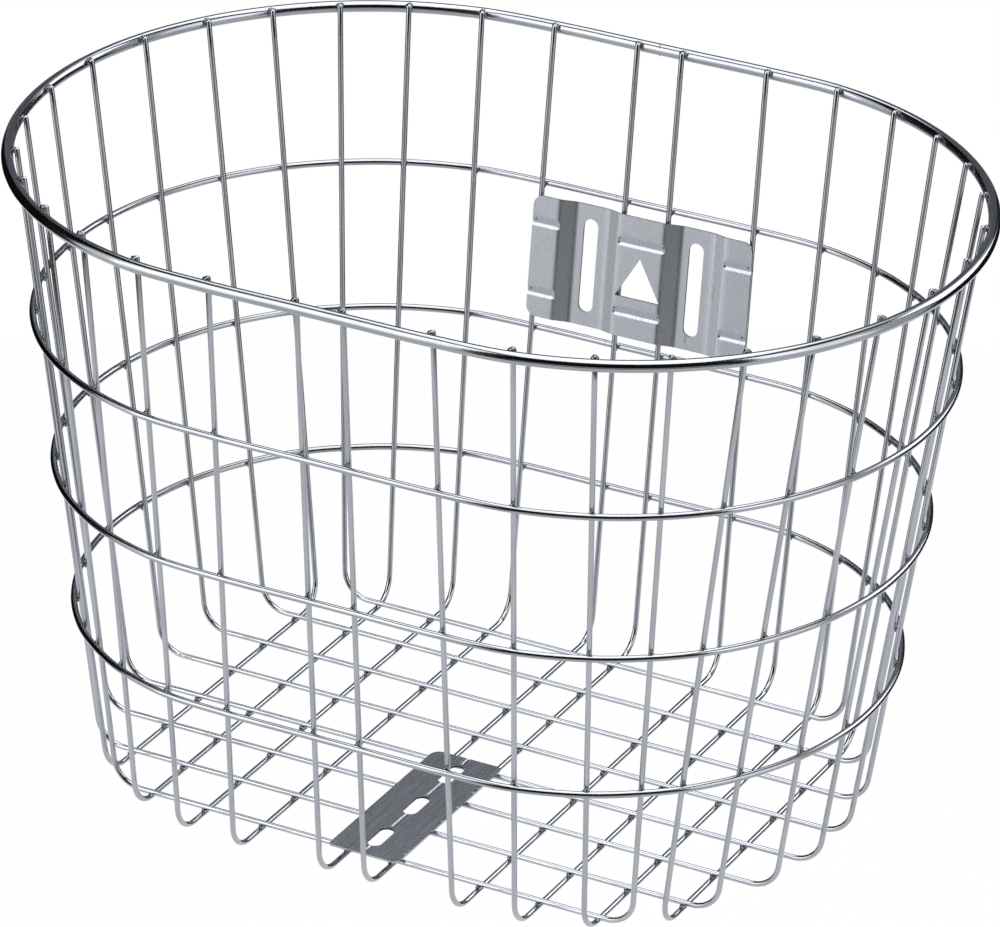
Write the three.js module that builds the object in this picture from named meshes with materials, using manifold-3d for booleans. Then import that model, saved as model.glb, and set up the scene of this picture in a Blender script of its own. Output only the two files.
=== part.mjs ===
// A bicycle's front basket in bent stainless wire, in millimetres. X runs across it, +Y points back to the
// bicycle, +Z is up, and the origin lies on the floor under the middle of the mouth.
// Ten long wires and eight cross wires, each bent to a U, make the floor and the walls. Three hoops go round
// the outside of the walls, and a thicker rim goes round the wires' tops. Two pressed plates take the bolts.
import * as THREE from "three";
import { mergeVertices } from "three/addons/utils/BufferGeometryUtils.js";
import Module from "manifold-3d";

// Wire sizes, and the room between pieces that are welded together.
const WIRE_D = 2.2;
const HOOP_D = 2.7;
const RIM_D = 4.8;
const WELD_GAP = 0.3;

// How finely the round shapes are cut into facets.
const SECTION_SIDES = 8;
const BEND_STEPS = 5;
const RING_STEPS_PER_WIRE = 2;
const HOLE_STEPS = 6;

// The mouth: an oval through the wires' top ends, with a flat of one length at its back and at its front.
const HEIGHT = 257.4;
const TOP_END_DROP = 0.8;
const MOUTH_WIDTH = 387;
const MOUTH_DEPTH = 276.4;
const OVAL_FLAT = 112;

// The foot: the oval through the corners where the walls would meet the floor if the bends were sharp. It
// stands forward of the mouth, so the front wall is the steeper one.
const FOOT_WIDTH = 315.4;
const FOOT_DEPTH = 227.8;
const FOOT_FORWARD = 7.7;
const BEND_RADIUS = 12;

// The floor's lattice. The middle pair of long wires is close set. The spaces get a little narrower from the
// pair out to the sides, and from the back to the front.
const PAIR_PITCH = 20;
const LONG_RANKS = 5;
const LONG_OUTER_INSET = 33.2;
const LONG_EASE = 0.054;
const CROSS_COUNT = 8;
const CROSS_INSET = 21.6;
const CROSS_EASE = 0.021;

// The wires behind the back plate's ends lean in a little. On from them round the mouth come two set spaces
// between the tops, then three narrower ones at the corner. The tops on the sides are evenly spaced.
const PLATE_WIRE_INSET = 1.1;
const PLATE_WIRE_LEAN = 0.9;
const TOP_GAPS = [32.4, 30.6];
const CORNER_GAP = 28.1;
const CORNER_GAPS = 3;

// Heights of the three hoops above the floor.
const HOOP_LOW_Z = 66.7;
const HOOP_MIDDLE_Z = 127.7;
const HOOP_HIGH_Z = 189.8;

// The back plate: pads that bear on the wires through pressed beads, and two set-back valleys with bolt slots.
const SHEET = 0.8;
const BACK_WIDTH = 100;
const BACK_HEIGHT = 52;
const BACK_PLATE_Z = 160.3;
const BACK_CORNER = 4.5;
const VALLEY_FLAT = 14.4;
const VALLEY_DEPTH = 2.2;
const STEP_WIDTH = 6.9;
const BACK_SLOT_LENGTH = 40;
const BACK_SLOT_WIDTH = 6.6;
const BEAD_DEPTH = 1;
const BEAD_WIDTH = 4.2;
const BEAD_FLOOR = 1.4;
const BEAD_PITCH = 30;
const WINDOW_SIDE = 20.4;

// The floor plate: it lies on the cross wires over the middle pair, with three slots on a pressed crease.
const FLOOR_PLATE_WIDTH = 31;
const FLOOR_PLATE_LENGTH = 86.8;
const FLOOR_PLATE_WIRES = 4;
const FLOOR_PLATE_FORWARD = 1.3;
const FLOOR_PLATE_CORNER = 5;
const FLOOR_SLOT_COUNT = 3;
const FLOOR_SLOT_LENGTH = 15.3;
const FLOOR_SLOT_WIDTH = 6;
const FLOOR_SLOT_PITCH = 28.7;
const CREASE_DEPTH = 0.5;
const CREASE_WIDTH = 2.6;
const CREASE_FLOOR = 0.8;

// Two vertices closer than this are one.
const SAME_POINT = 1e-4;

const wasm = await Module();
wasm.setup();

const steel = (color, roughness) => new THREE.MeshStandardMaterial({ color, roughness, metalness: 1 });
const POLISHED = steel(0xc9cacd, 0.12);
const DRAWN_WIRE = steel(0xb4b6ba, 0.28);
const SATIN_SHEET = steel(0xa3a6ab, 0.42);

// An oval in plan: a flat back and a flat front, joined on each side by half an ellipse.
class Oval {
  constructor(width, depth, middleY) {
    this.halfWidth = width / 2;
    this.halfDepth = depth / 2;
    this.middleY = middleY;
    this.halfFlat = OVAL_FLAT / 2;
    this.reach = this.halfWidth - this.halfFlat;
  }

  // How far the back and the front lie from the middle line at x.
  depthAt(x) {
    const out = Math.max(0, Math.abs(x) - this.halfFlat) / this.reach;
    return this.halfDepth * Math.sqrt(Math.max(0, 1 - out * out));
  }

  // The half width at y.
  widthAt(y) {
    const along = (y - this.middleY) / this.halfDepth;
    return this.halfFlat + this.reach * Math.sqrt(Math.max(0, 1 - along * along));
  }

  // The right half as a path, from the middle of the back to the middle of the front.
  rightHalf() {
    const { halfDepth, middleY, halfFlat, reach } = this;
    const path = new THREE.Path();
    path.moveTo(0, middleY + halfDepth);
    path.lineTo(halfFlat, middleY + halfDepth);
    path.absellipse(halfFlat, middleY, reach, halfDepth, Math.PI / 2, -Math.PI / 2, true);
    path.lineTo(0, middleY - halfDepth);
    return path;
  }
}

const mouth = new Oval(MOUTH_WIDTH, MOUTH_DEPTH, 0);
const foot = new Oval(FOOT_WIDTH, FOOT_DEPTH, -FOOT_FORWARD);

const TOP_Z = HEIGHT - TOP_END_DROP;
const LONG_Z = WIRE_D / 2;
const CROSS_Z = LONG_Z + WIRE_D + WELD_GAP;
const PLATE_WIRE_X = BACK_WIDTH / 2 - PLATE_WIRE_INSET;

// Place number `step` of `count` places from 0 to 1, eased so that the first spaces are the wider ones.
function eased(step, count, ease) {
  return step / count + (ease * step * (count - step)) / (count * count);
}

// x of each long wire on the right half, from the middle pair out. The second runs behind the plate's end.
function longWireXs() {
  const span = foot.halfWidth - LONG_OUTER_INSET - PLATE_WIRE_X;
  const spaces = LONG_RANKS - 2;
  const xOf = (_, k) => PLATE_WIRE_X + span * eased(k, spaces, LONG_EASE);
  return [PAIR_PITCH / 2, ...Array.from({ length: spaces + 1 }, xOf)];
}

// y of each cross wire, from the back to the front.
function crossWireYs() {
  const reach = foot.halfDepth - CROSS_INSET;
  const yOf = (_, k) => foot.middleY + reach - 2 * reach * eased(k, CROSS_COUNT - 1, CROSS_EASE);
  return Array.from({ length: CROSS_COUNT }, yOf);
}

// The feet of the wires on the right half, in order from the back's middle round to the front's.
function rightFeet(longXs, crossYs) {
  const feet = [];
  longXs.forEach((x, rank) => {
    const depth = foot.depthAt(x);
    feet.push({ key: `long${rank}back`, at: new THREE.Vector3(x, foot.middleY + depth, LONG_Z) });
    feet.push({ key: `long${rank}front`, at: new THREE.Vector3(x, foot.middleY - depth, LONG_Z) });
  });
  crossYs.forEach((y, rank) => {
    feet.push({ key: `cross${rank}`, at: new THREE.Vector3(foot.widthAt(y), y, CROSS_Z) });
  });
  const turn = ({ at }) => Math.atan2(at.x, at.y - foot.middleY);
  return feet.sort((a, b) => turn(a) - turn(b));
}

// The wires' tops along the right half of the mouth, as many as there are feet.
function rightTops(count) {
  const path = mouth.rightHalf();
  const length = path.getLength();
  const besidePair = PLATE_WIRE_X - PLATE_WIRE_LEAN - PAIR_PITCH / 2;
  const corner = new Array(CORNER_GAPS).fill(CORNER_GAP);
  const lead = [PAIR_PITCH / 2, besidePair, ...TOP_GAPS, ...corner];
  const leadLength = lead.reduce((sum, gap) => sum + gap, 0);
  const even = (length - 2 * leadLength) / (count - 2 * lead.length + 1);
  return Array.from({ length: count }, (_, k) => {
    const fromEnd = Math.min(k, count - 1 - k);
    const near = lead.slice(0, fromEnd + 1).reduce((sum, gap) => sum + gap, 0);
    const along = near + Math.max(0, fromEnd + 1 - lead.length) * even;
    const distance = k === fromEnd ? along : length - along;
    const point = path.getPoint(distance / length);
    return new THREE.Vector3(point.x, point.y, TOP_Z);
  });
}

const longXs = longWireXs();
const crossYs = crossWireYs();
const feet = rightFeet(longXs, crossYs);
const tops = rightTops(feet.length);
const ends = new Map(feet.map(({ key, at }, k) => [key, { foot: at, top: tops[k] }]));
const mirror = ({ x, y, z }) => new THREE.Vector3(-x, y, z);

// A section with flat facets above, below and at the sides, swept along stations. Each station has a point and
// two directions across the run. The section measures `diameter` across its flats.
function sweep(stations, diameter, closed) {
  const corner = diameter / 2 / Math.cos(Math.PI / SECTION_SIDES);
  const position = [];
  for (const { point, side, up } of stations) {
    for (let k = 0; k < SECTION_SIDES; k++) {
      const turn = ((k + 0.5) / SECTION_SIDES) * 2 * Math.PI;
      const at = point
        .clone()
        .addScaledVector(side, corner * Math.cos(turn))
        .addScaledVector(up, corner * Math.sin(turn));
      position.push(at.x, at.y, at.z);
    }
  }
  const index = [];
  const runs = closed ? stations.length : stations.length - 1;
  for (let run = 0; run < runs; run++) {
    const here = run * SECTION_SIDES;
    const next = ((run + 1) % stations.length) * SECTION_SIDES;
    for (let k = 0; k < SECTION_SIDES; k++) {
      const after = (k + 1) % SECTION_SIDES;
      index.push(here + k, here + after, next + after);
      index.push(here + k, next + after, next + k);
    }
  }
  if (!closed) {
    const last = (stations.length - 1) * SECTION_SIDES;
    for (let k = 1; k < SECTION_SIDES - 1; k++) {
      index.push(0, k + 1, k);
      index.push(last, last + k, last + k + 1);
    }
  }
  const geometry = new THREE.BufferGeometry();
  geometry.setAttribute("position", new THREE.Float32BufferAttribute(position, 3));
  geometry.setIndex(index);
  geometry.computeVertexNormals();
  return geometry;
}

// Points of the arc of the bend radius that rounds the corner between the lines to `from` and `to`.
function bend(from, corner, to) {
  const back = from.clone().sub(corner).normalize();
  const on = to.clone().sub(corner).normalize();
  const half = back.angleTo(on) / 2;
  const centre = back
    .clone()
    .add(on)
    .setLength(BEND_RADIUS / Math.sin(half))
    .add(corner);
  const reach = BEND_RADIUS / Math.tan(half);
  const start = corner.clone().addScaledVector(back, reach).sub(centre);
  const axis = on.clone().cross(back).normalize();
  const sweepAngle = Math.PI - 2 * half;
  return Array.from({ length: BEND_STEPS + 1 }, (_, k) =>
    start.clone().applyAxisAngle(axis, (k / BEND_STEPS) * sweepAngle).add(centre),
  );
}

// A wire bent to a U: down one wall, over the floor and up the other wall.
function bentWire(endA, endB) {
  const points = [
    endA.top,
    ...bend(endA.top, endA.foot, endB.foot),
    ...bend(endA.foot, endB.foot, endB.top),
    endB.top,
  ];
  const floorRun = endB.foot.clone().sub(endA.foot).normalize();
  const across = new THREE.Vector3(0, 0, 1).cross(floorRun);
  const stations = points.map((point, k) => {
    const before = points[Math.max(0, k - 1)];
    const after = points[Math.min(points.length - 1, k + 1)];
    const along = after.clone().sub(point).normalize();
    along.add(point.clone().sub(before).normalize()).normalize();
    const side = across.clone().addScaledVector(along, -across.dot(along)).normalize();
    return { point, side, up: along.clone().cross(side) };
  });
  return sweep(stations, WIRE_D, false);
}

// A closed level ring through plan points that are moved out by `offset`, at height z.
function ring(points, offset, z, diameter) {
  const through = new THREE.CatmullRomCurve3(points, true, "centripetal");
  const count = points.length * RING_STEPS_PER_WIRE;
  const up = new THREE.Vector3(0, 0, 1);
  const stations = Array.from({ length: count }, (_, k) => {
    const along = through.getTangent(k / count);
    const side = along.setZ(0).normalize().cross(up);
    const point = through.getPoint(k / count).setZ(z).addScaledVector(side, -offset);
    return { point, side: side.negate(), up };
  });
  return sweep(stations, diameter, true);
}

// Where every wire passes height z, going round from the back's middle by the right.
function wirePoints(z) {
  const right = feet.map(({ key }) => {
    const { foot: low, top } = ends.get(key);
    return low.clone().lerp(top, (z - low.z) / (top.z - low.z));
  });
  return [...right, ...right.map(mirror).reverse()];
}

// A sheet of even thickness over lines in x and y, raised by `rise(x, y)`. Its underside lies at the rise.
function pressedSheet(xs, ys, rise) {
  const position = [];
  for (const lift of [0, SHEET]) {
    for (const y of ys) {
      for (const x of xs) {
        position.push(x, y, rise(x, y) + lift);
      }
    }
  }
  const layer = xs.length * ys.length;
  const index = [];
  const quad = (a, b, c, d) => index.push(a, b, c, a, c, d);
  for (let j = 0; j < ys.length - 1; j++) {
    for (let i = 0; i < xs.length - 1; i++) {
      const a = j * xs.length + i;
      const [b, c, d] = [a + 1, a + 1 + xs.length, a + xs.length];
      quad(a, d, c, b);
      quad(a + layer, b + layer, c + layer, d + layer);
    }
  }
  const wall = (a, b) => quad(a, b, b + layer, a + layer);
  for (let i = 0; i < xs.length - 1; i++) {
    wall(i, i + 1);
    wall(layer - 1 - i, layer - 2 - i);
  }
  for (let j = 0; j < ys.length - 1; j++) {
    wall((j + 1) * xs.length - 1, (j + 2) * xs.length - 1);
    wall((j + 1) * xs.length, j * xs.length);
  }
  const geometry = new THREE.BufferGeometry();
  geometry.setAttribute("position", new THREE.Float32BufferAttribute(position, 3));
  geometry.setIndex(index);
  return geometry;
}

function toSolid(geometry) {
  const bare = geometry.clone();
  bare.deleteAttribute("normal");
  bare.deleteAttribute("uv");
  const merged = mergeVertices(bare, SAME_POINT);
  return new wasm.Manifold(
    new wasm.Mesh({
      numProp: 3,
      vertProperties: merged.attributes.position.array,
      triVerts: new Uint32Array(merged.index.array),
    }),
  );
}

function toGeometry(solid) {
  const { vertProperties, triVerts } = solid.getMesh();
  const geometry = new THREE.BufferGeometry();
  geometry.setAttribute("position", new THREE.BufferAttribute(vertProperties, 3));
  geometry.setIndex(new THREE.BufferAttribute(triVerts, 1));
  const faceted = geometry.toNonIndexed();
  faceted.computeVertexNormals();
  return faceted;
}

// A solid sheet cut to a shape, holes included. The cut passes both faces of the sheet and its relief.
function cutSheet(sheet, shape, relief) {
  const past = relief + 2 * SHEET;
  const options = { depth: 2 * past, bevelEnabled: false, curveSegments: HOLE_STEPS };
  const cutter = new THREE.ExtrudeGeometry(shape, options).translate(0, 0, -past);
  return toGeometry(toSolid(sheet).intersect(toSolid(cutter)));
}

// A rectangle with rounded corners round the origin.
function plateShape(width, height, corner) {
  const shape = new THREE.Shape();
  const [x, y] = [width / 2 - corner, height / 2 - corner];
  shape.absarc(x, y, corner, 0, Math.PI / 2);
  shape.absarc(-x, y, corner, Math.PI / 2, Math.PI);
  shape.absarc(-x, -y, corner, Math.PI, 1.5 * Math.PI);
  shape.absarc(x, -y, corner, 1.5 * Math.PI, 2 * Math.PI);
  shape.closePath();
  return shape;
}

// A bolt slot with round ends that lies along y.
function slot(x, y, length, width) {
  const hole = new THREE.Path();
  const reach = (length - width) / 2;
  hole.absarc(x, y + reach, width / 2, 0, Math.PI);
  hole.absarc(x, y - reach, width / 2, Math.PI, 2 * Math.PI);
  hole.closePath();
  return hole;
}

// The three-cornered window in the back plate's middle, point up.
function windowHole() {
  const height = (WINDOW_SIDE * Math.sqrt(3)) / 2;
  const hole = new THREE.Path();
  hole.moveTo(-WINDOW_SIDE / 2, -height / 2);
  hole.lineTo(WINDOW_SIDE / 2, -height / 2);
  hole.lineTo(0, height / 2);
  hole.closePath();
  return hole;
}

// How far a pressed groove has gone down at `offset` from its middle, as a share of its depth.
function grooveShare(offset, width, floor) {
  const slope = (width - floor) / 2;
  return THREE.MathUtils.clamp((width / 2 - Math.abs(offset)) / slope, 0, 1);
}

// Values and their opposites, in rising order.
function bothSigns(values) {
  return [...values.map((value) => -value), ...values].sort((a, b) => a - b);
}

// The back plate lies on the inside of the back wall between the upper hoops. Its own x runs across, its y up
// the wall and its z into the basket, from the plane of the wires' axes.
function backPlate() {
  const pad = WIRE_D / 2 + WELD_GAP + BEAD_DEPTH;
  const stepIn = PAIR_PITCH / 2;
  const valleyIn = stepIn + STEP_WIDTH;
  const valleyOut = valleyIn + VALLEY_FLAT;
  const stepOut = valleyOut + STEP_WIDTH;
  const slotX = (valleyIn + valleyOut) / 2;
  const beadReach = (STEP_WIDTH * BEAD_DEPTH) / VALLEY_DEPTH;
  const rise = (x, y) => {
    const valley = grooveShare(Math.abs(x) - slotX, stepOut - stepIn, VALLEY_FLAT);
    const bead = grooveShare(Math.abs(y) - BEAD_PITCH / 2, BEAD_WIDTH, BEAD_FLOOR);
    return pad - Math.max(VALLEY_DEPTH * valley, BEAD_DEPTH * bead);
  };
  const xs = bothSigns([
    stepIn,
    stepIn + beadReach,
    valleyIn,
    valleyOut,
    stepOut - beadReach,
    stepOut,
    BACK_WIDTH / 2 + SHEET,
  ]);
  const beadEdges = bothSigns([BEAD_FLOOR / 2, BEAD_WIDTH / 2]).map((offset) => BEAD_PITCH / 2 + offset);
  const ys = bothSigns([...beadEdges, BACK_HEIGHT / 2 + SHEET]);
  const shape = plateShape(BACK_WIDTH, BACK_HEIGHT, BACK_CORNER);
  shape.holes.push(windowHole());
  for (const x of [-slotX, slotX]) {
    shape.holes.push(slot(x, 0, BACK_SLOT_LENGTH, BACK_SLOT_WIDTH));
  }
  return cutSheet(pressedSheet(xs, ys, rise), shape, pad);
}

// The floor plate, round its own middle. Its z is measured from the tops of the cross wires.
function floorPlate() {
  const bed = WELD_GAP + CREASE_DEPTH;
  const rise = (x) => bed - CREASE_DEPTH * grooveShare(x, CREASE_WIDTH, CREASE_FLOOR);
  const xs = bothSigns([CREASE_FLOOR / 2, CREASE_WIDTH / 2, FLOOR_PLATE_WIDTH / 2 + SHEET]);
  const ys = bothSigns([FLOOR_PLATE_LENGTH / 2 + SHEET]);
  const shape = plateShape(FLOOR_PLATE_WIDTH, FLOOR_PLATE_LENGTH, FLOOR_PLATE_CORNER);
  for (let k = 0; k < FLOOR_SLOT_COUNT; k++) {
    const y = (k - (FLOOR_SLOT_COUNT - 1) / 2) * FLOOR_SLOT_PITCH;
    shape.holes.push(slot(0, y, FLOOR_SLOT_LENGTH, FLOOR_SLOT_WIDTH));
  }
  return cutSheet(pressedSheet(xs, ys, rise), shape, bed);
}

function part(group, name, geometry, material) {
  const mesh = new THREE.Mesh(geometry, material);
  mesh.name = name;
  group.add(mesh);
  return mesh;
}

function group(parent, name) {
  const made = new THREE.Group();
  made.name = name;
  parent.add(made);
  return made;
}

const mirrored = ({ foot: low, top }) => ({ foot: mirror(low), top: mirror(top) });

// Long wires are numbered from left to right, cross wires from back to front.
function addWires(basket) {
  const wires = group(basket, "wires");
  for (let rank = 0; rank < LONG_RANKS; rank++) {
    const [back, front] = [ends.get(`long${rank}back`), ends.get(`long${rank}front`)];
    part(wires, `long_wire_${LONG_RANKS + 1 + rank}`, bentWire(back, front), DRAWN_WIRE);
    part(wires, `long_wire_${LONG_RANKS - rank}`, bentWire(mirrored(back), mirrored(front)), DRAWN_WIRE);
  }
  for (let rank = 0; rank < CROSS_COUNT; rank++) {
    const right = ends.get(`cross${rank}`);
    part(wires, `cross_wire_${rank + 1}`, bentWire(mirrored(right), right), DRAWN_WIRE);
  }
}

function addRings(basket) {
  const rings = group(basket, "rings");
  const rimOffset = (WIRE_D + RIM_D) / 2 + WELD_GAP;
  const rimZ = HEIGHT - RIM_D / 2;
  part(rings, "rim", ring(wirePoints(TOP_Z), rimOffset, rimZ, RIM_D), POLISHED);
  const hoopOffset = (WIRE_D + HOOP_D) / 2 + WELD_GAP;
  const hoops = { hoop_low: HOOP_LOW_Z, hoop_middle: HOOP_MIDDLE_Z, hoop_high: HOOP_HIGH_Z };
  for (const [name, z] of Object.entries(hoops)) {
    part(rings, name, ring(wirePoints(z), hoopOffset, z, HOOP_D), POLISHED);
  }
}

function addPlates(basket) {
  const plates = group(basket, "plates");
  const { foot: low, top } = ends.get("long0back");
  const lean = Math.atan2(top.y - low.y, top.z - low.z);
  const back = part(plates, "back_plate", backPlate(), SATIN_SHEET);
  back.position.set(0, low.y + (BACK_PLATE_Z - low.z) * Math.tan(lean), BACK_PLATE_Z);
  back.rotation.x = Math.PI / 2 - lean;

  const carriers = crossYs.slice(-FLOOR_PLATE_WIRES);
  const floorY = (carriers[0] + carriers[carriers.length - 1]) / 2 - FLOOR_PLATE_FORWARD;
  const floor = part(plates, "floor_plate", floorPlate(), SATIN_SHEET);
  floor.position.set(0, floorY, CROSS_Z + WIRE_D / 2);
}

const basket = new THREE.Group();
basket.name = "bicycle_basket";
addWires(basket);
addRings(basket);
addPlates(basket);

export default basket;
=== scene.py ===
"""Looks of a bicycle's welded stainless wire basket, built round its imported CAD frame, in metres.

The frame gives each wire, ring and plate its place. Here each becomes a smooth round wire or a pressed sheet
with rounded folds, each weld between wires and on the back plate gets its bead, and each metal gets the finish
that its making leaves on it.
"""

import logging
import math
from dataclasses import dataclass, field
from enum import Enum
from typing import Any, Callable, Iterable, Sequence

import bmesh
import bpy
import numpy as np
from bpy.types import Material, Mesh, Node, NodeSocket, NodeTree, Object
from mathutils import Matrix, Vector
from mathutils.geometry import delaunay_2d_cdt


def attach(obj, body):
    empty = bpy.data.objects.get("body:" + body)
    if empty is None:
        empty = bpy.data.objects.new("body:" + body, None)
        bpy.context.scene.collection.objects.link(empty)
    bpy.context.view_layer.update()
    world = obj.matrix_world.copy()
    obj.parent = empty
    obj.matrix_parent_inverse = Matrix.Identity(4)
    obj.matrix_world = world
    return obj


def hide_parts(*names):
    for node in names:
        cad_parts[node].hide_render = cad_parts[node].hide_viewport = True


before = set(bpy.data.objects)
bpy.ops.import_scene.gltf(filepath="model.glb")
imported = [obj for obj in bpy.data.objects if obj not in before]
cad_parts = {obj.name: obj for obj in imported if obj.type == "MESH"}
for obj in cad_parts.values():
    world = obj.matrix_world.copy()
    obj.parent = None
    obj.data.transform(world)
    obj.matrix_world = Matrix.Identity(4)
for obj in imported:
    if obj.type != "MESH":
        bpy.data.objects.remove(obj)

log = logging.getLogger("basket")

Triple = tuple[float, float, float]

MM = 0.001
BODY = "root"
UP = Vector((0.0, 0.0, 1.0))

# Heights of the rings' axes. The rim's lies just under the wires' tops.
HOOP_HEIGHTS = {"hoop_low": 66.7 * MM, "hoop_middle": 127.7 * MM, "hoop_high": 189.8 * MM}
RIM_HEIGHT = 255 * MM

# The part of a noise's range over which patches change their tone, and fine lines their roughness.
PATCH_SPAN = (0.35, 0.65)
LINE_SPAN = (0.3, 0.7)


class Slot(Enum):
    """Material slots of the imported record."""

    DRAWN_WIRE = "drawn_wire"
    POLISHED_WIRE = "polished_wire"
    PRESSED_SHEET = "pressed_sheet"


class Side(Enum):
    """The two ends of a long wire."""

    BACK = 1
    FRONT = -1


def linear(hex_colour: str) -> tuple[float, float, float, float]:
    """Turns an sRGB hex colour to linear light.

    Args:
        hex_colour: The colour as "#rrggbb".

    Returns:
        Red, green, blue and alpha from 0 to 1.
    """
    channels = [int(hex_colour[k : k + 2], 16) / 255 for k in (1, 3, 5)]
    light = [c / 12.92 if c <= 0.04045 else ((c + 0.055) / 1.055) ** 2.4 for c in channels]
    return (light[0], light[1], light[2], 1.0)


def add_node(tree: NodeTree, kind: str, inputs: dict[str | int, Any] | None = None, **settings: Any) -> Node:
    """Adds a node, with its settings and its input values or links.

    Args:
        tree: The node tree.
        kind: The node's type name.
        inputs: Values or sockets for the node's inputs, by name or number.
        settings: The node's own properties.

    Returns:
        The new node.
    """
    node = tree.nodes.new(kind)
    for name, value in settings.items():
        setattr(node, name, value)
    for key, value in (inputs or {}).items():
        if isinstance(value, NodeSocket):
            tree.links.new(value, node.inputs[key])
        else:
            node.inputs[key].default_value = value
    return node


def ramp(
    tree: NodeTree, value: NodeSocket, span: tuple[float, float], start: float = 0.0, end: float = 1.0
) -> NodeSocket:
    """Maps a value from a span to start..end, and holds it there.

    Args:
        tree: The node tree.
        value: The socket to map.
        span: Values that give start and end.
        start: Result at the span's first value.
        end: Result at its second.

    Returns:
        The mapped socket.
    """
    ranges = {"Value": value, "From Min": span[0], "From Max": span[1], "To Min": start, "To Max": end}
    return add_node(tree, "ShaderNodeMapRange", ranges, interpolation_type="SMOOTHSTEP").outputs["Result"]


def blend_colour(tree: NodeTree, share: NodeSocket, first: Any, second: Any) -> NodeSocket:
    """Blends two colours.

    Args:
        tree: The node tree.
        share: How much of the second colour shows.
        first: Colour or socket.
        second: Colour or socket.

    Returns:
        The blended colour's socket.
    """
    return add_node(tree, "ShaderNodeMix", {0: share, 6: first, 7: second}, data_type="RGBA").outputs[2]


def noise(tree: NodeTree, place: NodeSocket, size: float, detail: float = 2.0) -> NodeSocket:
    """Adds a noise.

    Args:
        tree: The node tree.
        place: The place on the metal.
        size: About the size of its spots, in the place's unit.
        detail: How many finer noises lie on it.

    Returns:
        The noise's socket, from 0 to 1.
    """
    spots = {"Vector": place, "Scale": 1 / size, "Detail": detail}
    return add_node(tree, "ShaderNodeTexNoise", spots).outputs[0]


def streaks(
    tree: NodeTree, uv: NodeSocket, size: tuple[float, float], detail: float = 2.0, turn: float = 0.0
) -> NodeSocket:
    """Adds a noise that is drawn out to streaks.

    Args:
        tree: The node tree.
        uv: The place on the metal, in metres.
        size: About the size of a streak along u and along v.
        detail: How many finer noises lie on it.
        turn: How far the streaks are turned, in radians.

    Returns:
        The noise's socket, from 0 to 1.
    """
    drawn_out = {"Vector": uv, "Rotation": (0.0, 0.0, turn), "Scale": (1 / size[0], 1 / size[1], 1.0)}
    return noise(tree, add_node(tree, "ShaderNodeMapping", drawn_out).outputs["Vector"], 1.0, detail)


def mottle(tree: NodeTree, spots: NodeSocket, shade: str, steel: str) -> NodeSocket:
    """Spreads two tones of steel over the metal in soft patches.

    Args:
        tree: The node tree.
        spots: The noise that places the patches.
        shade: The darker tone.
        steel: The lighter tone.

    Returns:
        The colour's socket.
    """
    return blend_colour(tree, ramp(tree, spots, PATCH_SPAN), linear(shade), linear(steel))


def end_in_metal(
    tree: NodeTree, colour: NodeSocket, roughness: Any, relief: NodeSocket, depth: float, strength: float
) -> None:
    """Ends a material's nodes with bare metal.

    Args:
        tree: The node tree.
        colour: The metal's colour.
        roughness: Value or socket.
        relief: Height of the fine relief on it.
        depth: The relief's depth.
        strength: How much of the relief shows.
    """
    bump = add_node(tree, "ShaderNodeBump", {"Height": relief, "Strength": strength, "Distance": depth})
    looks = {"Base Color": colour, "Metallic": 1.0, "Roughness": roughness, "Normal": bump.outputs["Normal"]}
    shader = add_node(tree, "ShaderNodeBsdfPrincipled", looks)
    add_node(tree, "ShaderNodeOutputMaterial", {"Surface": shader.outputs["BSDF"]})


def new_material(name: str) -> tuple[Material, NodeTree]:
    """Makes an empty node material.

    Args:
        name: The material's name.

    Returns:
        The material and its node tree.
    """
    material = bpy.data.materials.new(name)
    material.use_nodes = True
    material.node_tree.nodes.clear()
    return material, material.node_tree


@dataclass(frozen=True)
class WireFinish:
    """Stainless steel wire, cold drawn through a die, so that fine lines run along it.

    Along the wire the reflection is long and smooth. Across it the lines spread it a little. Beside a weld the
    steel is painted brown to near black: heat tint, and painted shade where the wires meet.
    """

    name: str
    steel: str
    shade: str
    heat_and_shade_tint: str
    roughness: float
    roughness_swing: float
    line_spacing: float
    line_length: float
    line_depth: float
    patch_length: float
    line_detail: float = 3.0
    line_strength: float = 0.6

    def material(self) -> Material:
        """Makes the material, for a mesh with a UV map in metres along and round the wire, and the heat tint
        and painted shade at its welds.

        Returns:
            The material.
        """
        material, tree = new_material(self.name)
        uv = add_node(tree, "ShaderNodeUVMap", uv_map="wire").outputs["UV"]
        lines = streaks(tree, uv, (self.line_length, self.line_spacing), self.line_detail)
        place = add_node(tree, "ShaderNodeNewGeometry").outputs["Position"]
        metal = mottle(tree, noise(tree, place, self.patch_length), self.shade, self.steel)
        # Near each weld the steel is darkened: heat tint, and painted shade where the wires meet.
        heat = add_node(tree, "ShaderNodeAttribute", attribute_name="heat").outputs["Fac"]
        colour = blend_colour(tree, heat, metal, linear(self.heat_and_shade_tint))
        swing = self.roughness_swing
        rough = ramp(tree, lines, LINE_SPAN, self.roughness - swing, self.roughness + swing)
        end_in_metal(tree, colour, rough, lines, self.line_depth, self.line_strength)
        return material


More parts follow.
